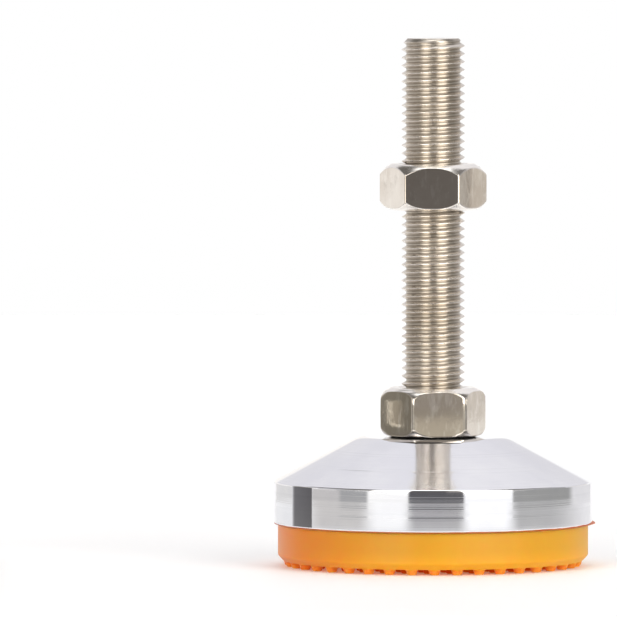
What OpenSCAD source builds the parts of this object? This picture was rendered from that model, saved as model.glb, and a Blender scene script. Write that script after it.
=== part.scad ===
// Furniture leveling foot: a turned steel base on a moulded elastomer pad, with an M16 threaded
// stud held in the base by its round head, a lower hex nut that clamps the base and an upper hex
// nut that locks the foot to the furniture.
// Millimetres, +Z up. The origin is the centre of the footprint, at floor level.

/* [Base] */
// Outside diameter of the steel base
base_d = 80; // [74:1:100]
// Height of the base's vertical rim
rim_h = 10.5; // [8:0.1:14]
// Rise of the cone from the rim's edge to the flat land
cone_h = 11.2; // [8:0.1:16]
// Diameter of the flat land under the lower nut
land_d = 37; // [30:1:44]
// Depth of the recess that takes the pad's plug
recess_depth = 4.1; // [3:0.1:5]

/* [Pad] */
// Diameter of the pad's side wall
pad_d = 78; // [72:1:78]
// Height of the pad from its moulded face to the base's rim
pad_h = 9.4; // [7:0.1:12]
// How far the moulding flash stands out past the base's rim
flash_out = 0.8; // [0.2:0.1:1]
// Diameter of the central hole at the moulded face
hole_face_d = 32; // [30:0.5:36]
// Diameter of the central hole at its inner end
hole_inner_d = 26; // [24:0.5:28]
// Height of the small round feet on the pad's face
dot_h = 1.4; // [0.8:0.1:1.8]
// Diameter of each small foot where it leaves the pad
dot_root_d = 3.2; // [2.4:0.1:3.2]
// Diameter of each small foot at the floor
dot_tip_d = 2.3; // [1.2:0.1:2.3]
// Number of rings of small feet
dot_rings = 5; // [2:1:5]

/* [Stud] */
// Height of the stud's free end above the flat land
stud_above_land = 100; // [90:1:100]
// Diameter over the thread's crests
thread_d = 15.9; // [15.8:0.02:15.98]
// Thread pitch
thread_pitch = 2; // [1.5:0.5:2]
// Diameter of the stud's round head
head_d = 20.8; // [18:0.1:21]
// Height of the stud's round head
head_h = 10; // [8:0.1:11]

/* [Nuts] */
// Width of both nuts across their flats
nut_af = 23.4; // [22:0.1:26]
// Height of the lower nut
base_nut_h = 12.4; // [10:0.1:13]
// Height of the upper nut
lock_nut_h = 11.6; // [8:0.1:13]
// Gap between the two nuts
nut_gap = 44.6; // [30:0.1:50]
// Turn of the lower nut about the stud, in degrees
base_nut_turn = 8; // [-30:1:30]
// Turn of the upper nut about the stud, in degrees
lock_nut_turn = -2; // [-30:0.5:30]

/* [Hidden] */
// Which sub-part to draw
$fn = 96;

// Overlap used to make a cut or a join run past a face
past = 0.1;

// Levels above the floor
face_z = dot_h;
rim_z = face_z + pad_h;
cone_z = rim_z + rim_h;
land_z = cone_z + cone_h;
web_z = rim_z + recess_depth;
stud_top_z = land_z + stud_above_land;
base_nut_z = land_z;
lock_nut_z = base_nut_z + base_nut_h + nut_gap;

// Base
base_r = base_d / 2;
land_r = land_d / 2;
// Small bevels on the rim's two edges
rim_bevel = 0.4;
// Radius and number of steps of the soft turn between the cone and the land
land_round = 6;
land_steps = 8;
cone_angle = atan2(cone_h - rim_bevel, base_r - rim_bevel - land_r);
// Thickness of the rim's wall round the recess
rim_wall = 4;
recess_r = base_r - rim_wall;
// Depth, half width and radius of the scribed line that runs round the cone
scribe_depth = 0.12;
scribe_half = 0.25;
scribe_r = 32.3;

// Stud: running gap in the base, end play, and the neck that carries the base
run_gap = 0.08;
end_play = 0.1;
neck_r = thread_d / 2;
neck_hole_r = neck_r + run_gap;
// Gap round the stud's head in its counterbore
head_gap = 0.3;
head_r = head_d / 2;
// How far the head hangs below the recess's ceiling
head_drop = 2.6;
head_bottom_z = web_z - head_drop;
head_top_z = head_bottom_z + head_h;
shoulder_z = head_top_z + end_play;
// Bevel on the head's lower edge
head_bevel = 0.5;

// Thread: basic profile of a 60 degree metric thread
crest_r = thread_d / 2;
thread_depth = 0.6134 * thread_pitch;
root_r = crest_r - thread_depth;
crest_flat = thread_pitch / 8;
root_flat = thread_pitch / 4;
flank = (thread_pitch - crest_flat - root_flat) / 2;
// The thread starts this far above the land, inside the lower nut
plain_neck = 2;
thread_start_z = land_z + plain_neck;
// The free end that screws into the furniture is cut to the thin side of the tolerance
free_end_z = lock_nut_z + lock_nut_h;
free_end_cut = 0.17;
free_crest_r = crest_r - free_end_cut;
end_bevel = 1.5;
turns = ceil((stud_top_z - thread_start_z) / thread_pitch);
thread_top_z = thread_start_z + turns * thread_pitch;

// Nuts: turned down to a little under the width across the hexagon's corners
nut_round_share = 1.135;
nut_round_d = nut_af * nut_round_share;
// Each end is bevelled twice: shallow out to the flats, then steeper round the corners
nut_bevel_share = 0.449;
nut_bevel_r = nut_af * nut_bevel_share;
nut_bevel_flat = 0.7;
nut_bevel_corner = 2.5;
nut_gap_on_crests = 0.05;
nut_bore_r = crest_r + nut_gap_on_crests;
nut_countersink = 0.9;

// Pad
pad_r = pad_d / 2;
flash_r = base_r + flash_out;
// The flash tapers from its root on the pad's side wall to its edge
flash_root_h = 0.5;
flash_edge_h = 0.2;
pad_bevel_out = 1.3;
pad_bevel_up = 1.4;
// Bond line between the pad's plug and the base's recess
bond_gap = 0.05;
plug_r = recess_r - bond_gap;
// Small feet: inset of the outermost ring, ring spacing and number of feet in each ring
dot_inset = 3;
dot_ring_r = pad_r - dot_inset;
dot_ring_step = 4.5;
dots_in_outer_ring = 40;
dots_fewer_per_ring = 5;
dot_facets = 24;

// Points along a circular arc, centre (cx, cz), from angle a0 to a1
function arc(cx, cz, r, a0, a1, steps) =
    [for (i = [0 : steps]) let (a = a0 + (a1 - a0) * i / steps) [cx + r * cos(a), cz + r * sin(a)]];

// Radius of the crest of thread turn i, counted from the thread's start
function crest_of(i) = thread_start_z + i * thread_pitch >= free_end_z ? free_crest_r : crest_r;

// Outline of one thread turn: half a root flat, a flank, the crest, a flank, half a root flat
function turn_outline(i) =
    let (z = thread_start_z + i * thread_pitch)
    let (r = crest_of(i))
    [
        [root_r, z],
        [root_r, z + root_flat / 2],
        [r, z + root_flat / 2 + flank],
        [r, z + root_flat / 2 + flank + crest_flat],
        [root_r, z + thread_pitch - root_flat / 2]
    ];

module base_outline() {
    turn_in = land_round * tan(cone_angle / 2);
    polygon(concat(
        [
            [neck_hole_r, shoulder_z],
            [head_r + head_gap, shoulder_z],
            [head_r + head_gap, web_z],
            [recess_r, web_z],
            [recess_r, rim_z],
            [base_r - rim_bevel, rim_z],
            [base_r, rim_z + rim_bevel],
            [base_r, cone_z],
            [base_r - rim_bevel, cone_z + rim_bevel]
        ],
        arc(land_r - turn_in, land_z - land_round, land_round, 90 - cone_angle, 90, land_steps),
        [[neck_hole_r, land_z]]
    ));
}

module scribe_outline() {
    drop = (scribe_r - land_r) * tan(cone_angle);
    translate([scribe_r, land_z - drop])
    rotate(-cone_angle)
    polygon([
        [-scribe_half, past],
        [-scribe_half, 0],
        [0, -scribe_depth],
        [scribe_half, 0],
        [scribe_half, past]
    ]);
}

// Turned steel base: land, cone, rim, recess for the pad and counterbore for the stud's head
module base_dome() {
    color([0.80, 0.81, 0.83])
    difference() {
        rotate_extrude() base_outline();
        rotate_extrude() scribe_outline();
    }
}

module pad_outline() {
    polygon([
        [hole_face_d / 2, face_z],
        [pad_r - pad_bevel_out, face_z],
        [pad_r, face_z + pad_bevel_up],
        [pad_r, rim_z - flash_root_h],
        [flash_r, rim_z - flash_edge_h],
        [flash_r, rim_z],
        [plug_r, rim_z],
        [plug_r, web_z],
        [hole_inner_d / 2, web_z]
    ]);
}

// One small round foot, root sunk a little into the pad
module dot() {
    cylinder(h = dot_h, d1 = dot_tip_d, d2 = dot_root_d, $fn = dot_facets);
    translate([0, 0, dot_h - past])
    cylinder(h = 2 * past, d = dot_root_d - 2 * past, $fn = dot_facets);
}

// Moulded elastomer pad: plug, flash, bevelled face, central hole and rings of small feet
module floor_pad() {
    color([0.90, 0.55, 0.14])
    union() {
        rotate_extrude() pad_outline();
        for (ring = [0 : dot_rings - 1]) {
            count = dots_in_outer_ring - dots_fewer_per_ring * ring;
            for (i = [0 : count - 1]) {
                rotate([0, 0, 360 * i / count])
                translate([dot_ring_r - dot_ring_step * ring, 0, 0])
                dot();
            }
        }
    }
}

module spindle_outline() {
    polygon(concat(
        [
            [0, head_bottom_z],
            [head_r - head_bevel, head_bottom_z],
            [head_r, head_bottom_z + head_bevel],
            [head_r, head_top_z],
            [neck_r, head_top_z],
            [neck_r, thread_start_z - thread_depth]
        ],
        [for (i = [0 : turns - 1]) each turn_outline(i)],
        [[0, thread_top_z]]
    ));
}

// What is cut away to leave the stud's flat, bevelled free end
module end_cut_outline() {
    wide = end_bevel + past;
    polygon([
        [0, stud_top_z],
        [crest_r - end_bevel, stud_top_z],
        [crest_r + past, stud_top_z - wide],
        [crest_r + wide, stud_top_z - wide],
        [crest_r + wide, thread_top_z + past],
        [0, thread_top_z + past]
    ]);
}

// Threaded stud: round head, plain neck that turns in the base, thread and bevelled free end
module spindle() {
    color([0.62, 0.60, 0.56])
    difference() {
        rotate_extrude() spindle_outline();
        rotate_extrude() end_cut_outline();
    }
}

module nut_outline(nut_h) {
    polygon([
        [nut_bore_r + nut_countersink, 0],
        [nut_bevel_r, 0],
        [nut_af / 2, nut_bevel_flat],
        [nut_round_d / 2, nut_bevel_corner],
        [nut_round_d / 2, nut_h - nut_bevel_corner],
        [nut_af / 2, nut_h - nut_bevel_flat],
        [nut_bevel_r, nut_h],
        [nut_bore_r + nut_countersink, nut_h],
        [nut_bore_r, nut_h - nut_countersink],
        [nut_bore_r, nut_countersink]
    ]);
}

// Hex nut standing on z = 0, a flat towards -Y
module hex_nut(nut_h) {
    intersection() {
        rotate_extrude() nut_outline(nut_h);
        cylinder(h = nut_h, d = nut_af / cos(30), $fn = 6);
    }
}

// Lower nut, down on the base's land
module base_nut() {
    color([0.58, 0.57, 0.53])
    translate([0, 0, base_nut_z])
    rotate([0, 0, base_nut_turn])
    hex_nut(base_nut_h);
}

// Upper nut, run up to lock against the furniture
module lock_nut() {
    color([0.66, 0.64, 0.60])
    translate([0, 0, lock_nut_z])
    rotate([0, 0, lock_nut_turn])
    hex_nut(lock_nut_h);
}

base_dome();
floor_pad();
spindle();
base_nut();
lock_nut();
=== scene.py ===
import math

import bmesh
import bpy
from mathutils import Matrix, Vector, noise


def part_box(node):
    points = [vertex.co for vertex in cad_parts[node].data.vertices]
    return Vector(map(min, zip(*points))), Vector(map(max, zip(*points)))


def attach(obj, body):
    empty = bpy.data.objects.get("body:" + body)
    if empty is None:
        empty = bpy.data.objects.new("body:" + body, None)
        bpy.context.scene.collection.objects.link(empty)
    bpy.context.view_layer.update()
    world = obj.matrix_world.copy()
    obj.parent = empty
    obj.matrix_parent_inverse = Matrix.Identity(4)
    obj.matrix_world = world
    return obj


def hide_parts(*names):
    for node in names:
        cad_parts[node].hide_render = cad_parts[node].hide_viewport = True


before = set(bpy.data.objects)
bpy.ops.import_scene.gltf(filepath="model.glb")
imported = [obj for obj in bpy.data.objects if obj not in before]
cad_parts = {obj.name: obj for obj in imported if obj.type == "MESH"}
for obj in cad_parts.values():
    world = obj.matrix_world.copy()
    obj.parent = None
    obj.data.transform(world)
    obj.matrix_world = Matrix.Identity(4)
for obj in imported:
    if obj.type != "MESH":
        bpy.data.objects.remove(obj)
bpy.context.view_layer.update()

MM = 0.001


# ---------------------------------------------------------------- mesh helpers

def rounded(corners, closed=True, steps=5, support=0.06):
    """Outline of (r, z, fillet radius) corners, in mm, with each corner rounded and a support point
    just outside each fillet, so that the flats between them shade flat."""
    out = []
    n = len(corners)
    for i, (r, z, f) in enumerate(corners):
        here = Vector((r, z))
        if f <= 0 or (not closed and i in (0, n - 1)):
            out.append((r, z))
            continue
        before = Vector(corners[i - 1][:2]) - here
        after = Vector(corners[(i + 1) % n][:2]) - here
        la, lb = before.length, after.length
        before.normalize()
        after.normalize()
        angle = before.angle(after)
        cut = min(f / math.tan(angle / 2), 0.42 * la, 0.42 * lb)
        f = cut * math.tan(angle / 2)
        middle = here + (before + after).normalized() * (f / math.sin(angle / 2))
        a = here + before * cut
        b = here + after * cut
        if cut + support < 0.46 * la:
            out.append(tuple(here + before * (cut + support)))
        start = math.atan2(a.y - middle.y, a.x - middle.x)
        turn = math.atan2(b.y - middle.y, b.x - middle.x) - start
        turn = (turn + math.pi) % (2 * math.pi) - math.pi
        for k in range(steps + 1):
            t = start + turn * k / steps
            out.append((middle.x + f * math.cos(t), middle.y + f * math.sin(t)))
        if cut + support < 0.46 * lb:
            out.append(tuple(here + after * (cut + support)))
    return out


def new_object(name, bm, smooth=True):
    bmesh.ops.recalc_face_normals(bm, faces=bm.faces)
    mesh = bpy.data.meshes.new(name)
    bm.to_mesh(mesh)
    bm.free()
    if smooth:
        mesh.polygons.foreach_set("use_smooth", [True] * len(mesh.polygons))
    obj = bpy.data.objects.new(name, mesh)
    bpy.context.collection.objects.link(obj)
    return obj


def add_lathe(bm, outline, segments, closed=True, centre=(0.0, 0.0)):
    """Revolves an outline of (r, z) in mm about a vertical line; points on the axis become poles."""
    rings = []
    for r, z in outline:
        if r < 1e-6:
            rings.append([bm.verts.new((centre[0] * MM, centre[1] * MM, z * MM))])
            continue
        ring = []
        for i in range(segments):
            a = 2 * math.pi * i / segments
            x = centre[0] + r * math.cos(a)
            y = centre[1] + r * math.sin(a)
            ring.append(bm.verts.new((x * MM, y * MM, z * MM)))
        rings.append(ring)
    pairs = list(zip(rings, rings[1:]))
    if closed:
        pairs.append((rings[-1], rings[0]))
    for low, high in pairs:
        for i in range(segments):
            j = (i + 1) % segments
            if len(low) == 1 and len(high) == 1:
                break
            if len(low) == 1:
                bm.faces.new((low[0], high[j], high[i]))
            elif len(high) == 1:
                bm.faces.new((low[i], low[j], high[0]))
            else:
                bm.faces.new((low[i], low[j], high[j], high[i]))


def add_sheet(bm, grid):
    """Faces between neighbouring columns of vertices."""
    for one, two in zip(grid, grid[1:]):
        for j in range(len(one) - 1):
            bm.faces.new((one[j], two[j], two[j + 1], one[j + 1]))


# ---------------------------------------------------------------- node helpers

class Graph:
    """Short names for the shader nodes used below."""

    def __init__(self, tree):
        self.tree = tree
        tree.nodes.clear()

    def node(self, kind, **settings):
        n = self.tree.nodes.new(kind)
        for key, value in settings.items():
            setattr(n, key, value)
        return n

    def feed(self, socket, value):
        if isinstance(value, bpy.types.NodeSocket):
            self.tree.links.new(value, socket)
        elif value is not None:
            socket.default_value = value

    def math(self, operation, *values, clamp=False):
        n = self.node("ShaderNodeMath", operation=operation, use_clamp=clamp)
        for socket, value in zip(n.inputs, values):
            self.feed(socket, value)
        return n.outputs[0]

    def step(self, value, low, high, to_low=0.0, to_high=1.0, smooth=True):
        n = self.node("ShaderNodeMapRange", clamp=True)
        n.interpolation_type = "SMOOTHSTEP" if smooth else "LINEAR"
        for socket, v in zip(n.inputs, (value, low, high, to_low, to_high)):
            self.feed(socket, v)
        return n.outputs[0]

    def mix(self, factor, a, b, blend="MIX"):
        n = self.node("ShaderNodeMix", data_type="RGBA", blend_type=blend)
        self.feed(n.inputs[0], factor)
        self.feed(n.inputs[6], a)
        self.feed(n.inputs[7], b)
        return n.outputs[2]

    def noise(self, vector, scale, detail=3.0, rough=0.55, w=None, dims="3D"):
        n = self.node("ShaderNodeTexNoise", noise_dimensions=dims)
        if dims != "1D":
            self.feed(n.inputs["Vector"], vector)
        if w is not None:
            self.feed(n.inputs["W"], w)
        n.inputs["Scale"].default_value = scale
        n.inputs["Detail"].default_value = detail
        n.inputs["Roughness"].default_value = rough
        return n.outputs[0]

    def scaled(self, vector, scale):
        n = self.node("ShaderNodeMapping")
        self.feed(n.inputs["Vector"], vector)
        n.inputs["Scale"].default_value = scale
        return n.outputs[0]

    def bump(self, height, strength, distance, normal=None):
        n = self.node("ShaderNodeBump")
        n.inputs["Strength"].default_value = strength
        n.inputs["Distance"].default_value = distance
        self.feed(n.inputs["Height"], height)
        self.feed(n.inputs["Normal"], normal)
        return n.outputs[0]

    def place(self):
        """Object coordinates, their parts, and the distance from the stud's axis."""
        c = self.node("ShaderNodeTexCoord").outputs["Object"]
        s = self.node("ShaderNodeSeparateXYZ")
        self.feed(s.inputs[0], c)
        x, y, z = s.outputs
        r = self.math("SQRT", self.math("ADD", self.math("MULTIPLY", x, x), self.math("MULTIPLY", y, y)))
        return c, x, y, z, r


def rgba(r, g, b):
    return (r, g, b, 1.0)


def material(name):
    m = bpy.data.materials.new(name)
    m.use_nodes = True
    g = Graph(m.node_tree)
    out = g.node("ShaderNodeOutputMaterial")
    bsdf = g.node("ShaderNodeBsdfPrincipled")
    g.feed(out.inputs["Surface"], bsdf.outputs[0])
    return m, g, bsdf


# ---------------------------------------------------------------- materials

def polished_steel():
    """Turned and polished: fine rings round the axis, so highlights run up and down the cone. The rim
    is shinier than the cone."""
    m, g, bsdf = material("polished_steel")
    c, _, _, z, r = g.place()
    along = g.math("SUBTRACT", r, g.math("MULTIPLY", z, 0.52))
    fine = g.noise(None, 9000.0, 2.0, 0.7, w=along, dims="1D")
    rings = g.noise(None, 1400.0, 3.0, 0.6, w=along, dims="1D")
    broad = g.noise(None, 260.0, 2.0, 0.5, w=along, dims="1D")
    smudge = g.noise(c, 42.0, 4.0, 0.6)
    wipe = g.noise(g.scaled(c, (1.0, 1.0, 3.5)), 95.0, 3.0, 0.55)
    tone = g.mix(g.step(smudge, 0.35, 0.7), rgba(0.80, 0.80, 0.835), rgba(0.87, 0.87, 0.885))
    tone = g.mix(g.math("MULTIPLY", g.step(rings, 0.55, 0.8), 0.35), tone, rgba(0.70, 0.705, 0.73))
    g.feed(bsdf.inputs["Base Color"], tone)
    bsdf.inputs["Metallic"].default_value = 1.0
    rim_share = g.step(r, 0.0396, 0.0399, 1.0, 0.30)
    rough = g.step(wipe, 0.3, 0.75, 0.085, 0.13)
    rough = g.math("ADD", rough, g.step(fine, 0.3, 0.7, -0.01, 0.01, smooth=False))
    g.feed(bsdf.inputs["Roughness"], g.math("MULTIPLY", rough, rim_share))
    bsdf.inputs["Anisotropic"].default_value = 0.4
    bsdf.inputs["Anisotropic Rotation"].default_value = 0.25
    tangent = g.node("ShaderNodeTangent", direction_type="RADIAL", axis="Z")
    g.feed(bsdf.inputs["Tangent"], tangent.outputs[0])
    height = g.math("ADD", g.math("MULTIPLY", rings, 0.6), g.math("MULTIPLY", fine, 0.25))
    normal = g.bump(height, 0.07, 0.00005)
    normal = g.bump(broad, 0.05, 0.0005, normal)
    g.feed(bsdf.inputs["Normal"], normal)
    return m


def stud_steel():
    """Rolled thread in warm bright steel, darker in its roots."""
    m, g, bsdf = material("stud_steel")
    c, x, y, z, r = g.place()
    turn = g.math("ARCTAN2", y, x)
    helix = g.math("SUBTRACT", z, g.math("MULTIPLY", turn, 0.002 / (2 * math.pi)))
    lines = g.noise(None, 9000.0, 2.0, 0.6, w=helix, dims="1D")
    blot = g.noise(c, 160.0, 4.0, 0.6)
    cloud = g.noise(c, 45.0, 3.0, 0.5)
    clean = g.mix(g.step(cloud, 0.35, 0.68), rgba(0.64, 0.58, 0.505), rgba(0.76, 0.71, 0.65))
    # the thread's roots are painted darker, and made rougher below
    root = g.step(r, 0.00685, 0.0074, 1.0, 0.0)
    root = g.math("MULTIPLY", root, g.step(r, 0.0060, 0.0064))
    tone = g.mix(g.math("MULTIPLY", root, 0.55), clean, rgba(0.25, 0.215, 0.17))
    tone = g.mix(g.math("MULTIPLY", g.step(blot, 0.55, 0.8), 0.25), tone, rgba(0.42, 0.37, 0.31))
    g.feed(bsdf.inputs["Base Color"], tone)
    bsdf.inputs["Metallic"].default_value = 1.0
    rough = g.math("ADD", g.step(blot, 0.3, 0.75, 0.17, 0.30), g.math("MULTIPLY", root, 0.12))
    g.feed(bsdf.inputs["Roughness"], rough)
    normal = g.bump(lines, 0.12, 0.00005)
    normal = g.bump(blot, 0.10, 0.0002, normal)
    g.feed(bsdf.inputs["Normal"], normal)
    return m


def forged_steel():
    """The stud's cold-headed end: scaly, dull and blotched."""
    m, g, bsdf = material("forged_steel")
    c = g.place()[0]
    scale = g.noise(c, 520.0, 5.0, 0.65)
    patch = g.noise(c, 150.0, 4.0, 0.6)
    tone = g.mix(g.step(patch, 0.35, 0.66), rgba(0.36, 0.33, 0.29), rgba(0.62, 0.60, 0.56))
    tone = g.mix(g.math("MULTIPLY", g.step(scale, 0.58, 0.74), 0.5), tone, rgba(0.20, 0.175, 0.15))
    g.feed(bsdf.inputs["Base Color"], tone)
    bsdf.inputs["Metallic"].default_value = 1.0
    g.feed(bsdf.inputs["Roughness"], g.step(scale, 0.3, 0.7, 0.30, 0.50))
    g.feed(bsdf.inputs["Normal"], g.bump(scale, 0.35, 0.0003))
    return m


def nut_steel(name, warm, cool, grain):
    """Bright machined hexagon with fine marks up its flats, dull blotches and rubbed edges."""
    m, g, bsdf = material(name)
    c = g.place()[0]
    marks = g.noise(g.scaled(c, (1.0, 1.0, 0.12)), 2600.0, 2.0, 0.6)
    blot = g.noise(c, 210.0 + grain, 4.0, 0.6)
    cloud = g.noise(c, 70.0 + grain, 3.0, 0.5)
    tone = g.mix(g.step(cloud, 0.35, 0.68), warm, cool)
    tone = g.mix(g.math("MULTIPLY", g.step(blot, 0.55, 0.78), 0.3), tone, rgba(0.40, 0.37, 0.33))
    spots = g.noise(g.scaled(c, (1.0, 1.0, 0.5)), 430.0 + grain, 3.0, 0.6)
    tone = g.mix(g.math("MULTIPLY", g.step(spots, 0.50, 0.72), 0.5), tone, rgba(0.86, 0.83, 0.78))
    scratch = g.noise(g.scaled(c, (1.0, 1.0, 0.2)), 560.0 + grain, 2.0, 0.6)
    tone = g.mix(g.math("MULTIPLY", g.step(scratch, 0.60, 0.72), 0.40), tone, rgba(0.90, 0.87, 0.83))
    parts = g.node("ShaderNodeSeparateXYZ")
    g.feed(parts.inputs[0], g.node("ShaderNodeNewGeometry").outputs["Normal"])
    turned = g.step(g.math("ABSOLUTE", parts.outputs[2]), 0.35, 0.6)
    tone = g.mix(turned, tone, rgba(0.93, 0.89, 0.835))
    g.feed(bsdf.inputs["Base Color"], tone)
    bsdf.inputs["Metallic"].default_value = 1.0
    rough = g.math("ADD", g.step(blot, 0.3, 0.75, 0.04, 0.085), g.step(marks, 0.35, 0.65, -0.01, 0.015))
    g.feed(bsdf.inputs["Roughness"], g.math("ADD", rough, g.math("MULTIPLY", turned, 0.16)))
    normal = g.bump(marks, 0.09, 0.00006)
    normal = g.bump(blot, 0.05, 0.0004, normal)
    g.feed(bsdf.inputs["Normal"], normal)
    return m


def elastomer():
    """Orange moulded pad: satin, with painted light and shade, all painted to follow the photograph: redder
    towards -X, lighter low down, a deeper red on the feet, lighter on their bottom faces, dark red on the
    flash and underneath."""
    m, g, bsdf = material("elastomer")
    c, x, _, z, r = g.place()
    cloud = g.noise(c, 38.0, 3.0, 0.5)
    grain = g.noise(c, 1900.0, 3.0, 0.6)
    streak = g.noise(g.scaled(c, (1.0, 1.0, 0.25)), 120.0, 3.0, 0.55)
    tone = g.mix(g.step(cloud, 0.3, 0.7), rgba(0.60, 0.282, 0.006), rgba(0.635, 0.317, 0.010))
    tone = g.mix(g.math("MULTIPLY", g.step(streak, 0.5, 0.75), 0.25), tone, rgba(0.72, 0.34, 0.02))
    # painted light: the pad lighter low down, where light from the white floor reaches it
    tone = g.mix(g.step(z, 0.0014, 0.0065, 0.6, 0.0), tone, rgba(0.83, 0.405, 0.014))
    # painted light and shade: redder towards -X, for the shade and orange light a neighbouring foot throws on
    # that side
    tone = g.mix(g.step(x, -0.042, -0.006, 0.9, 0.0), tone, rgba(0.66, 0.165, 0.005))
    parts = g.node("ShaderNodeSeparateXYZ")
    g.feed(parts.inputs[0], g.node("ShaderNodeNewGeometry").outputs["Normal"])
    wall = g.step(parts.outputs[2], -0.7, -0.45)
    # painted shade: the feet, low in the pad's shade, a deeper red than the rubber above
    feet = g.step(z, 0.0009, 0.0014, 1.0, 0.0)
    tone = g.mix(g.math("MULTIPLY", feet, 0.8), tone, rgba(0.80, 0.215, 0.022))
    # painted light: the feet's bottom faces lighter, for light coming through the rubber
    tips = g.math("MULTIPLY", g.step(z, 0.0001, 0.0004, 1.0, 0.0), g.step(wall, 0.0, 1.0, 1.0, 0.0))
    tone = g.mix(tips, tone, rgba(0.90, 0.42, 0.05))
    # painted shade: the flash a dark red, in the shade under the rim
    fin = g.math("MULTIPLY", g.step(z, 0.0103, 0.0105), g.step(r, 0.03902, 0.0393))
    tone = g.mix(g.math("MULTIPLY", fin, 0.8), tone, rgba(0.36, 0.06, 0.012))
    # painted shade: the walls of the inner feet under the pad a dark red, with less shine
    under = g.math("MULTIPLY", g.step(z, 0.00135, 0.00155, 1.0, 0.0), g.step(r, 0.0350, 0.0354, 1.0, 0.0))
    under = g.math("MULTIPLY", under, wall)
    # painted light: the face between the feet a lighter red, with a painted glow
    face = g.step(g.math("ABSOLUTE", g.math("SUBTRACT", z, 0.0014)), 0.00006, 0.00012, 1.0, 0.0)
    face = g.math("MULTIPLY", face, g.step(r, 0.0374, 0.0377, 1.0, 0.0))
    tone = g.mix(face, tone, rgba(0.84, 0.26, 0.010))
    tone = g.mix(g.math("MULTIPLY", under, 0.8), tone, rgba(0.42, 0.045, 0.002))
    g.feed(bsdf.inputs["Base Color"], tone)
    g.feed(bsdf.inputs["Roughness"], g.step(cloud, 0.3, 0.7, 0.34, 0.46))
    bsdf.inputs["IOR"].default_value = 1.48
    g.feed(bsdf.inputs["Specular IOR Level"], g.math("SUBTRACT", 0.35, g.math("MULTIPLY", under, 0.3)))
    bsdf.inputs["Subsurface Weight"].default_value = 0.6
    bsdf.inputs["Subsurface Radius"].default_value = (1.0, 0.20, 0.04)
    bsdf.inputs["Subsurface Scale"].default_value = 0.0035
    # a faint glow on the feet's walls and the underside stands for light coming through the pad
    glow = g.mix(face, rgba(0.08, 0.005, 0.0), rgba(0.22, 0.07, 0.004))
    g.feed(bsdf.inputs["Emission Color"], glow)
    g.feed(bsdf.inputs["Emission Strength"], g.math("MAXIMUM", under, face))
    normal = g.bump(grain, 0.08, 0.00012)
    normal = g.bump(cloud, 0.10, 0.0015, normal)
    g.feed(bsdf.inputs["Normal"], normal)
    return m


def floor_paper():
    m, g, bsdf = material("floor_paper")
    c = g.node("ShaderNodeTexCoord").outputs["Object"]
    fibre = g.noise(c, 900.0, 3.0, 0.6)
    g.feed(bsdf.inputs["Base Color"], g.mix(fibre, rgba(0.90, 0.90, 0.91), rgba(0.93, 0.93, 0.935)))
    bsdf.inputs["Roughness"].default_value = 0.55
    bsdf.inputs["Specular IOR Level"].default_value = 0.25
    bsdf.inputs["Emission Color"].default_value = rgba(0.97, 0.99, 1.0)
    bsdf.inputs["Emission Strength"].default_value = 0.11
    return m


# ---------------------------------------------------------------- base

dome_lo, dome_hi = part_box("base_dome")
pad_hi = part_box("floor_pad")[1]
stud_lo, stud_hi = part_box("spindle")
low_lo, low_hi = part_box("base_nut")
top_lo, top_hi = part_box("lock_nut")

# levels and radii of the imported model, in mm
base_r = dome_hi.x / MM
rim_z = dome_lo.z / MM
land_z = dome_hi.z / MM
cone_z = rim_z + 10.5
land_r = 18.5
web_z = pad_hi.z / MM
head_z = stud_lo.z / MM
stud_top = stud_hi.z / MM
head_r = stud_hi.x / MM
head_top = head_z + 10.0
crest_r = 7.95


def make_dome():
    slope = (land_z - cone_z) / (base_r - land_r)

    def on_cone(r, down=0.0):
        return land_z - (r - land_r) * slope - down

    corners = [
        (crest_r + 0.08, head_top + 0.1, 0.0),
        (head_r + 0.3, head_top + 0.1, 0.3),
        (head_r + 0.3, web_z, 0.35),
        (base_r - 4.0, web_z, 0.4),
        (base_r - 4.0, rim_z, 0.4),
        (base_r, rim_z, 0.35),
        (base_r, cone_z, 0.45),
        (32.75, on_cone(32.75), 0.1),
        (32.30, on_cone(32.30, 0.02), 0.1),
        (31.85, on_cone(31.85), 0.1),
        (land_r, land_z, 7.0),
        (crest_r + 0.08, land_z, 0.3),
    ]
    bm = bmesh.new()
    add_lathe(bm, rounded(corners, steps=8), 288)
    return new_object("turned_base", bm)


dome = make_dome()
dome.data.materials.append(polished_steel())
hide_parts("base_dome")
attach(dome, "base")


# ---------------------------------------------------------------- pad

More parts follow.
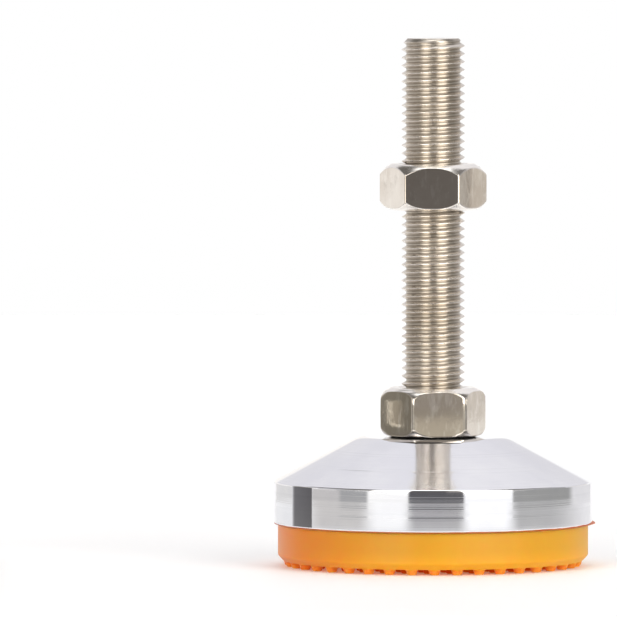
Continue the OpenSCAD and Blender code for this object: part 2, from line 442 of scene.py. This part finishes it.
def make_pad():
    face_z = 1.4
    flash_r = pad_hi.x / MM
    side_r = 39.0
    corners = [
        (16.0, face_z, 0.5),
        (side_r - 1.3, face_z, 0.5),
        (side_r, face_z + 1.4, 0.9),
        (side_r, rim_z - 0.42, 0.10),
        (flash_r, rim_z - 0.14, 0.0),
        (flash_r, rim_z, 0.0),
        (base_r - 4.05, rim_z, 0.0),
        (base_r - 4.05, web_z, 0.0),
        (13.0, web_z, 0.4),
    ]
    bm = bmesh.new()
    add_lathe(bm, rounded(corners, steps=5), 240)
    # the flash is ragged: it shows past the rim only here and there, most of all on +X
    for v in bm.verts:
        r = math.hypot(v.co.x, v.co.y) / MM
        if r > side_r + 0.02:
            a = math.atan2(v.co.y, v.co.x)
            ragged = noise.noise(Vector((4.0 * math.cos(a), 4.0 * math.sin(a), 1.5)))
            ragged += 0.5 * noise.noise(Vector((17.0 * math.cos(a), 17.0 * math.sin(a), 5.0)))
            reach = 0.52 + 0.30 * ragged + 0.48 * math.exp(-((a / 0.30) ** 2))
            reach = min(max(reach, 0.35), 1.0 if v.co.x > 0 else 0.5)
            v.co.xy *= (side_r + (r - side_r) * reach) / r
    pad = new_object("moulded_pad", bm)

    dot = rounded(
        [
            (0.0, 0.0, 0.0), (1.15, 0.02, 0.38), (1.48, 1.1, 0.18),
            (1.70, face_z, 0.0), (1.2, 2.2, 0.0), (0.0, 2.2, 0.0),
        ],
        closed=False,
        steps=4,
        support=0.04,
    )
    outer_r, ring_gap = 36.0, 4.5
    outer_count, fewer = 40, 5
    bm = bmesh.new()
    for ring in range(5):
        count = outer_count - fewer * ring
        for i in range(count):
            a = 2 * math.pi * i / count
            r = outer_r - ring_gap * ring
            add_lathe(bm, dot, 20, closed=False, centre=(r * math.cos(a), r * math.sin(a)))
    dots = new_object("moulded_dots", bm)

    join = pad.modifiers.new("join", "BOOLEAN")
    join.operation = "UNION"
    join.solver = "MANIFOLD"
    join.object = dots
    graph = bpy.context.evaluated_depsgraph_get()
    joined = bpy.data.meshes.new_from_object(pad.evaluated_get(graph))
    pad.modifiers.clear()
    pad.data = joined
    bpy.data.objects.remove(dots)
    joined.polygons.foreach_set("use_smooth", [True] * len(joined.polygons))
    joined.set_sharp_from_angle(angle=math.radians(28))
    return pad


pad = make_pad()
pad.data.materials.clear()
pad.data.materials.append(elastomer())
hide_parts("floor_pad")
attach(pad, "base")


# ---------------------------------------------------------------- stud

def make_thread():
    pitch = 2.0
    depth = 1.2268
    start = land_z + 0.8
    per_turn = 96
    # one pitch of the rolled profile: place along the pitch, height from root (0) to crest (1)
    profile = [
        (0.00, 0.00), (0.06, 0.015), (0.11, 0.06), (0.16, 0.15), (0.40, 0.85),
        (0.435, 0.945), (0.47, 0.99), (0.50, 1.00), (0.53, 0.99), (0.565, 0.945),
        (0.60, 0.85), (0.84, 0.15), (0.89, 0.06), (0.94, 0.015),
    ]
    per_pitch = len(profile)
    low = head_top - 0.6
    turns = int((stud_top - low) / pitch) + 3
    rows = turns * per_pitch
    bm = bmesh.new()
    grid = []
    for i in range(per_turn):
        a = 2 * math.pi * i / per_turn
        column = []
        for j in range(rows + 1):
            u, h = profile[j % per_pitch]
            z = low - 2 * pitch + pitch * (j // per_pitch + u + i / per_turn)
            fade = min(max((z - start) / 2.2, 0.0), 1.0)
            r = crest_r - depth * (1.0 - h) * fade
            r = min(r, max(crest_r - 1.5 + (stud_top - z), crest_r - 1.5))
            column.append(bm.verts.new((r * math.cos(a) * MM, r * math.sin(a) * MM, z * MM)))
        grid.append(column)
    for i in range(per_turn):
        here = grid[i]
        there = grid[(i + 1) % per_turn]
        shift = per_pitch if i == per_turn - 1 else 0
        for j in range(rows):
            if j + 1 + shift <= rows:
                bm.faces.new((here[j], there[j + shift], there[j + 1 + shift], here[j + 1]))
    for level, up in ((stud_top, 1), (low, -1)):
        geometry = list(bm.verts) + list(bm.edges) + list(bm.faces)
        bmesh.ops.bisect_plane(
            bm, geom=geometry, dist=1e-8, plane_co=(0, 0, level * MM), plane_no=(0, 0, up), clear_outer=True
        )
        rim = [e for e in bm.edges if e.is_boundary and all(abs(v.co.z - level * MM) < 1e-7 for v in e.verts)]
        cap = bmesh.ops.contextual_create(bm, geom=rim)["faces"]
        for f in cap:
            f.smooth = False
    return bm


def add_head(bm):
    """Round head with a rough face and the round scar of the heading punch."""
    outline = rounded(
        [
            (head_r - 0.02, head_z + 0.5, 0.0), (head_r, head_z + 0.9, 0.0),
            (head_r, head_top, 0.3), (0.0, head_top, 0.0),
        ],
        closed=False,
    )
    segments = 128
    rings = []
    face_rings = [
        0.0, 0.8, 1.6, 2.4, 3.2, 3.9, 4.4, 4.7, 4.9, 5.1, 5.3,
        5.6, 6.2, 6.9, 7.6, 8.3, 8.9, 9.4, 9.8, 10.1, 10.3,
    ]
    face_rings = [r * (head_r - 0.1) / 10.3 for r in face_rings]
    for r in face_rings:
        ring = []
        for i in range(segments if r > 0 else 1):
            a = 2 * math.pi * i / segments
            x, y = r * math.cos(a), r * math.sin(a)
            rough = noise.fractal(Vector((x * 0.9, y * 0.9, 3.7)), 0.7, 2.1, 4) * 0.10
            scar = 0.16 * math.exp(-(((r - 5.0 - 0.12 * math.sin(3 * a)) / 0.28) ** 2))
            cup = 0.10 * math.exp(-((r / 4.0) ** 4))
            edge = 0.45 * max(0.0, (r - (head_r - 0.9)) / 0.8) ** 2
            z = head_z + 0.06 + abs(rough) + scar + cup + edge
            ring.append(bm.verts.new((x * MM, y * MM, z * MM)))
        rings.append(ring)
    for r, z in outline:
        if r < 1e-6:
            rings.append([bm.verts.new((0, 0, z * MM))])
        else:
            rings.append([
                bm.verts.new((r * math.cos(2 * math.pi * i / segments) * MM,
                              r * math.sin(2 * math.pi * i / segments) * MM, z * MM))
                for i in range(segments)
            ])
    for low, high in zip(rings, rings[1:]):
        for i in range(segments):
            j = (i + 1) % segments
            if len(low) == 1:
                f = bm.faces.new((low[0], high[i], high[j]))
            elif len(high) == 1:
                f = bm.faces.new((low[i], high[0], low[j]))
            else:
                f = bm.faces.new((low[i], high[i], high[j], low[j]))
            f.material_index = 1


def make_stud():
    bm = make_thread()
    add_head(bm)
    stud = new_object("threaded_stud", bm)
    cap_sides = 20
    for p in stud.data.polygons:
        if len(p.vertices) > cap_sides:
            p.use_smooth = False
    stud.data.set_sharp_from_angle(angle=math.radians(50))
    return stud


stud = make_stud()
stud.data.materials.append(stud_steel())
stud.data.materials.append(forged_steel())
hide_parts("spindle")
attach(stud, "spindle")


# ---------------------------------------------------------------- nuts

def make_nut(name, z0, height, turn_deg, corner, round_r, barrel, foot, top, seed):
    """Hexagon nut. Its rows follow the arcs that the end bevels cut on its flats. foot and top give
    each end's bevel: its depth at a flat's middle, its depth at a corner, and how square the arc is."""
    flat = 11.7
    bevel_r = 10.5
    bore_r = crest_r + 0.05
    round_edge = 0.16

    # directions round one flat, from corner to corner, as shares of its half width in degrees
    shares = (-1, -0.985, -0.9, -0.8, -0.65, -0.5, -0.35, -0.2, 0, 0.2, 0.35, 0.5, 0.65, 0.8, 0.9, 0.985, 1)
    edge_y = (flat - corner) * math.tan(math.radians(30))
    tangent = math.degrees(math.atan2(edge_y, flat))
    angles = []
    for side in range(6):
        base = 60 * side
        for k in shares:
            angles.append((base, tangent * k))
        for k in range(1, 8):
            angles.append((base, tangent + (60 - 2 * tangent) * k / 8))

    def side_radius(d):
        d = abs((d + 30) % 60 - 30)
        if d <= tangent:
            return flat / math.cos(math.radians(d))
        t = math.radians(30 - d)
        c = (flat - corner) / math.cos(math.radians(30))
        outward = c * math.cos(t) + math.sqrt(max(corner ** 2 - (c * math.sin(t)) ** 2, 0.0))
        return min(outward, round_r + 0.03)

    def end_rows(r, depth, corner_depth, bend):
        """(radius, distance from the end face) from the bore out to the middle of the side."""

        def drop_at(q):
            if q <= flat:
                return depth * max(q - bevel_r, 0.0) / (flat - bevel_r)
            return depth + (corner_depth - depth) * ((q - flat) / (round_r - flat)) ** bend

        rows = [
            (bore_r, height / 2), (bore_r, 0.95), (bore_r + 0.06, 0.80), (bore_r + 0.84, 0.06),
            (bore_r + 0.95, 0.0), (bore_r + 1.2, 0.0), (bevel_r - 0.35, 0.0), (bevel_r - 0.08, 0.012),
            (bevel_r + 0.08, drop_at(bevel_r + 0.08) + 0.02),
        ]
        for q in (bevel_r + (r - bevel_r) * t for t in (0.25, 0.5, 0.75)):
            rows.append((q, drop_at(q)))
        for share, extra in ((1.5, 0.0), (1.0, 0.004), (0.55, 0.03)):
            q = r - round_edge * share
            rows.append((q, drop_at(q) + extra))
        drop = drop_at(r)
        rest = height / 2 - drop
        rows += [
            (r - round_edge * 0.2, drop + 0.04),
            (r - 0.02 - barrel, drop + round_edge * 0.75),
            (r - barrel, drop + round_edge * 1.2),
            (r - barrel * 0.97, drop + round_edge * 1.8),
            (r - barrel * 0.65, drop + rest * 0.25),
            (r - barrel * 0.35, drop + rest * 0.5),
            (r - barrel * 0.12, drop + rest * 0.78),
        ]
        return rows

    bm = bmesh.new()
    grid = []
    for base, d in angles:
        r = side_radius(d)
        a = math.radians(base + d + turn_deg - 90)
        outline = end_rows(r, *foot) + [(r, height / 2)]
        outline += [(q, height - z) for q, z in reversed(end_rows(r, *top)[1:])]
        column = []
        for q, z in outline:
            spot = Vector((q * math.cos(a) * 0.35 + seed, q * math.sin(a) * 0.35, z * 0.35))
            wobble = 0.012 * noise.noise(spot)
            q += wobble if q > bevel_r else 0.0
            column.append(bm.verts.new((q * math.cos(a) * MM, q * math.sin(a) * MM, (z0 + z) * MM)))
        grid.append(column)
    n, k = len(grid), len(grid[0])
    for i in range(n):
        for j in range(k):
            bm.faces.new((
                grid[i][j], grid[(i + 1) % n][j],
                grid[(i + 1) % n][(j + 1) % k], grid[i][(j + 1) % k],
            ))
    nut = new_object(name, bm)
    nut.data.set_sharp_from_angle(angle=math.radians(55))
    return nut


lower = make_nut("lower_nut", low_lo.z / MM, (low_hi.z - low_lo.z) / MM, 8.0, 0.45, 13.28, 0.045,
                 (0.35, 2.0, 1.9), (0.75, 2.4, 1.9), 4.0)
lower.data.materials.append(
    nut_steel("lower_nut_steel", rgba(0.61, 0.555, 0.485), rgba(0.70, 0.645, 0.57), 0.0)
)
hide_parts("base_nut")
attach(lower, "base_nut")

upper = make_nut("upper_nut", top_lo.z / MM, (top_hi.z - top_lo.z) / MM, -2.0, 0.34, 13.15, 0.012,
                 (0.5, 1.8, 1.4), (0.8, 2.35, 1.05), 9.0)
upper.data.materials.append(
    nut_steel("upper_nut_steel", rgba(0.68, 0.63, 0.575), rgba(0.77, 0.73, 0.68), 15.0)
)
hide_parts("lock_nut")
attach(upper, "lock_nut")


# ---------------------------------------------------------------- studio

def make_floor():
    """Pale table top that ends in front and at the sides, and runs away behind."""
    front, back, half_width, level = -0.41, 1.3, 0.41, -0.00003
    bm = bmesh.new()
    corners = [(-half_width, front), (half_width, front), (half_width, back), (-half_width, back)]
    bm.faces.new([bm.verts.new((x, y, level)) for x, y in corners])
    obj = new_object("floor", bm, smooth=False)
    obj.data.materials.append(floor_paper())


def make_world():
    """A white studio: pale walls and ceiling, a darker room in front and two tall soft boxes. The
    camera itself sees plain white."""
    world = bpy.data.worlds.new("studio")
    bpy.context.scene.world = world
    world.use_nodes = True
    g = Graph(world.node_tree)
    way = g.node("ShaderNodeTexCoord").outputs["Generated"]
    s = g.node("ShaderNodeSeparateXYZ")
    g.feed(s.inputs[0], way)
    x, y, z = s.outputs
    az = g.math("MULTIPLY", g.math("ARCTAN2", x, g.math("MULTIPLY", y, -1.0)), 180 / math.pi)
    el = g.math("MULTIPLY", g.math("ARCSINE", z), 180 / math.pi)

    def window(value, low, high, soft):
        up = g.step(value, low - soft, low + soft)
        down = g.step(value, high - soft, high + soft, 1.0, 0.0)
        return g.math("MULTIPLY", up, down)

    colour = g.mix(g.step(el, 5.0, 60.0), rgba(0.80, 0.79, 0.82), rgba(0.93, 0.92, 0.955))
    colour = g.mix(g.step(el, 65.0, 70.0), colour, rgba(1.5, 1.5, 1.5))
    colour = g.mix(g.step(el, 76.0, 80.0), colour, rgba(3.2, 3.2, 3.2))
    panels = [
        # azimuth from the camera's side, elevation, softness, colour
        (-181, -74, -95, 11, 2.0, rgba(1.06, 1.03, 1.0)),
        (118, 181, -95, 11, 2.0, rgba(0.85, 0.82, 0.80)),
        (150, 181, -95, 11, 2.0, rgba(1.08, 1.08, 1.08)),
        (-156, 128, 38, 67, 3.0, rgba(0.12, 0.112, 0.105)),
        (-74, 62, -95, 38, 3.0, rgba(0.165, 0.153, 0.145)),
        (9, 24, -4.0, 38, 1.0, rgba(0.40, 0.375, 0.35)),
        (9, 24, -95, -4.0, 1.0, rgba(0.60, 0.57, 0.50)),
        (-74, -49, -95, 38, 1.5, rgba(0.58, 0.57, 0.56)),
        (61, 112, -95, 34, 1.5, rgba(0.40, 0.40, 0.40)),
        (-47, -18, -95, 45, 1.5, rgba(4.1, 3.98, 3.75)),
        (21, 59, -95, 45, 1.5, rgba(4.5, 4.36, 4.1)),
    ]
    for a0, a1, e0, e1, soft, tint in panels:
        mask = g.math("MULTIPLY", window(az, a0, a1, soft), window(el, e0, e1, soft))
        colour = g.mix(mask, colour, tint)
    lit = g.node("ShaderNodeBackground")
    g.feed(lit.inputs["Color"], colour)
    lit.inputs["Strength"].default_value = 1.0
    plain = g.node("ShaderNodeBackground")
    plain.inputs["Color"].default_value = rgba(1.0, 1.0, 1.0)
    plain.inputs["Strength"].default_value = 1.0
    ray = g.node("ShaderNodeLightPath").outputs["Is Camera Ray"]
    both = g.node("ShaderNodeMixShader")
    g.feed(both.inputs[0], ray)
    g.feed(both.inputs[1], lit.outputs[0])
    g.feed(both.inputs[2], plain.outputs[0])
    out = g.node("ShaderNodeOutputWorld")
    g.feed(out.inputs["Surface"], both.outputs[0])
    world.cycles.sampling_method = "MANUAL"
    world.cycles.sample_map_resolution = 1024


def make_flag(name, corners, tint):
    """A card that only the metal sees: a studio flag or reflector, not part of the object."""
    bm = bmesh.new()
    bm.faces.new([bm.verts.new(c) for c in corners])
    show_to_metal(new_object(name, bm, smooth=False), tint)


def show_to_metal(obj, tint=None):
    """Lights a card with one tint, or with its own vertex colours, for reflections only."""
    m = bpy.data.materials.new(obj.name)
    m.use_nodes = True
    g = Graph(m.node_tree)
    light = g.node("ShaderNodeEmission")
    if tint is None:
        g.feed(light.inputs["Color"], g.node("ShaderNodeVertexColor", layer_name="tint").outputs["Color"])
    else:
        light.inputs["Color"].default_value = tint
    g.feed(g.node("ShaderNodeOutputMaterial").inputs["Surface"], light.outputs[0])
    obj.data.materials.append(m)
    obj.visible_camera = False
    obj.visible_diffuse = False
    obj.visible_transmission = False
    obj.visible_shadow = False


def make_table_zones():
    """Light and dark zones of the table top as the polished rim sees them. Azimuth runs round the
    rim from -Y, in degrees; distance is measured outwards from the rim, in metres."""
    rim = base_r * MM
    # azimuth, softness, tint beyond the split, tint nearer than it; each zone runs to the next
    zones = [
        (-62.0, 2.0, (0.80, 0.79, 0.78), (0.95, 0.95, 0.95)),
        (-49.5, 1.0, (0.62, 0.60, 0.59), (0.68, 0.66, 0.64)),
        (-36.0, 1.2, (0.42, 0.42, 0.42), (0.68, 0.66, 0.64)),
        (-24.5, 0.8, (1.16, 1.15, 1.12), (1.18, 1.18, 1.16)),
        (-9.2, 0.5, (0.12, 0.118, 0.125), (0.53, 0.52, 0.52)),
        (10.9, 0.5, (1.2, 1.2, 1.2), (1.2, 1.2, 1.2)),
        (29.6, 0.6, (0.37, 0.37, 0.36), (0.53, 0.525, 0.525)),
        (59.5, 2.5, (0.84, 0.83, 0.84), (0.90, 0.89, 0.90)),
    ]
    split = 0.256
    near, far = 0.13, 0.40
    azimuths = [-80 + 0.5 * i for i in range(321)]
    distances = [near + (far - near) * i / 54 for i in range(55)]

    def blend(v, middle, soft):
        t = min(max((v - middle) / (2 * soft) + 0.5, 0.0), 1.0)
        return t * t * (3 - 2 * t)

    def tint_at(azimuth, distance):
        beyond = blend(distance, split, 0.007)
        # the nearer part is less sharply bounded than the far one
        widen = 1.0 + 5.0 * (1.0 - beyond)
        colour = None
        for start, soft, far_tint, near_tint in zones:
            mixed = [n + (f - n) * beyond for f, n in zip(far_tint, near_tint)]
            if colour is None:
                colour = mixed
            else:
                t = blend(azimuth, start, soft * widen)
                colour = [a + (b - a) * t for a, b in zip(colour, mixed)]
        line = math.exp(-(((distance - split + 0.012) / 0.004) ** 2))
        fade = blend(distance, near + 0.030, 0.010)
        edge = [0.9 + (c - 0.9) * fade for c in colour]
        return [c + 0.10 * line for c in edge]

    bm = bmesh.new()
    layer = bm.verts.layers.float_color.new("tint")
    grid = []
    for azimuth in azimuths:
        a = math.radians(azimuth)
        row = []
        for d in distances:
            v = bm.verts.new((
                rim * math.sin(a) + d * math.sin(2 * a),
                -rim * math.cos(a) - d * math.cos(2 * a),
                0.0001,
            ))
            v[layer] = (*tint_at(azimuth, d), 1.0)
            row.append(v)
        grid.append(row)
    add_sheet(bm, grid)
    show_to_metal(new_object("table_zones", bm, smooth=False))


def make_front_strip():
    """Low curved card in front of the base. It calms what the stud shows in the cone, and the part
    opposite the lower nut's front flat gives that flat its tone."""
    strip_r = 0.100
    bm = bmesh.new()
    layer = bm.verts.layers.float_color.new("tint")
    dark, dull, bright = (0.075, 0.070, 0.066), (0.30, 0.29, 0.28), (0.60, 0.58, 0.54)
    grid = []
    for azimuth in range(-76, 64):
        a = math.radians(azimuth)
        opposite = 9 <= azimuth <= 21
        side = dull if azimuth < -47 else bright if azimuth < -18 or azimuth > 21 else dark
        column = []
        for z, tint in (
            (0.0225, (0.66, 0.63, 0.55)), (0.0300, (0.64, 0.60, 0.53)), (0.0335, (0.44, 0.415, 0.375)),
            (0.0385, (0.40, 0.372, 0.355)),
        ):
            v = bm.verts.new((strip_r * math.sin(a), -strip_r * math.cos(a), z))
            v[layer] = (*(tint if opposite else side), 1.0)
            column.append(v)
        grid.append(column)
    add_sheet(bm, grid)
    show_to_metal(new_object("front_strip", bm, smooth=False))


def make_nut_cards():
    """Cards beside the nuts. Each is placed by mirroring the main camera's line of sight in a flat, so
    that it fills a chosen part of that flat there; it stays put in every other view."""
    eye = bpy.context.scene.camera.location / MM
    half_flats = 11.7
    left_flat, right_flat = -52.0, 58.0

    def mirrored(x, z, facing, distance):
        """Point that distance away (mm) that the flat facing that azimuth shows at x, z."""
        a = math.radians(facing)
        n = Vector((math.sin(a), -math.cos(a), 0.0))
        along = Vector((math.cos(a), math.sin(a), 0.0))
        p = n * half_flats
        p += along * (x - p.x) / along.x
        p.z = z
        d = (p - eye).normalized()
        return (p + (d - 2 * d.dot(n) * n) * distance) * MM

    def card(name, facing, distance, x0, x1, z0, z1, tint):
        corners = ((x0, z0), (x1, z0), (x1, z1), (x0, z1))
        make_flag(name, [mirrored(x, z, facing, distance) for x, z in corners], tint)

    low = low_lo.z / MM
    top = top_lo.z / MM
    middle = mirrored(-9.2, low + 6.0, left_flat, 104.0)
    side = Vector((0.242, 0.970, 0.0))
    bm = bmesh.new()
    layer = bm.verts.layers.float_color.new("tint")
    grid = []
    for shift, lift in ((0.014, 0.75), (0.0105, 0.25), (0.007, 0.05), (-0.028, 0.0), (-0.030, 0.08)):
        column = []
        for z, tint in (
            (0.0002, (0.24, 0.235, 0.235)), (0.006, (0.165, 0.16, 0.16)), (0.011, (0.14, 0.135, 0.14)),
            (0.020, (0.13, 0.125, 0.13)), (0.027, (0.235, 0.22, 0.19)), (0.060, (0.235, 0.22, 0.19)),
        ):
            v = bm.verts.new((middle.x + side.x * shift, middle.y + side.y * shift, z))
            v[layer] = (*(c + lift for c in tint), 1.0)
            column.append(v)
        grid.append(column)
    add_sheet(bm, grid)
    show_to_metal(new_object("dark_card", bm, smooth=False))
    card("window", left_flat, 46.0, -11.25, -8.2, low + 2.4, low + 9.9, rgba(0.45, 0.415, 0.355))
    card("window_side", left_flat, 45.0, -11.35, -10.6, low + 2.6, low + 9.9, rgba(1.2, 1.15, 1.03))
    card("window_foot", left_flat, 45.0, -11.0, -8.3, low + 2.4, low + 3.1, rgba(1.0, 0.95, 0.84))
    card("right_inner", right_flat, 46.0, 5.8, 8.55, top - 1.0, top + 13.0, rgba(0.56, 0.53, 0.49))
    card("right_line", right_flat, 45.0, 8.5, 9.0, top - 1.0, top + 13.0, rgba(0.26, 0.23, 0.20))
    card("right_outer", right_flat, 46.0, 9.0, 14.0, top - 1.0, top + 13.0, rgba(0.72, 0.67, 0.61))


def make_camera():
    """Long lens, a little above the foot, with the stud right of the middle of the frame."""
    elevation = math.radians(2.75)
    distance = 3.0
    # image width, the stud's axis and the floor line in the image, and image points to the mm
    width, axis, floor_line, scale = 617, 433.1, 565.8, 3.98
    frame_width = width / scale * MM
    target = Vector(((width / 2 - axis) / scale * MM, 0.0, (floor_line - width / 2) / scale * MM))
    data = bpy.data.cameras.new("camera")
    data.sensor_width = 36.0
    data.lens = 36.0 * distance / frame_width
    data.clip_start = 0.1
    data.clip_end = 50.0
    cam = bpy.data.objects.new("camera", data)
    bpy.context.collection.objects.link(cam)
    cam.location = target + distance * Vector((0.0, -math.cos(elevation), math.sin(elevation)))
    cam.rotation_euler = (math.pi / 2 - elevation, 0.0, 0.0)
    bpy.context.scene.camera = cam


make_floor()
make_world()
make_camera()
make_table_zones()
make_front_strip()
make_nut_cards()
bpy.context.scene.view_settings.view_transform = "Standard"
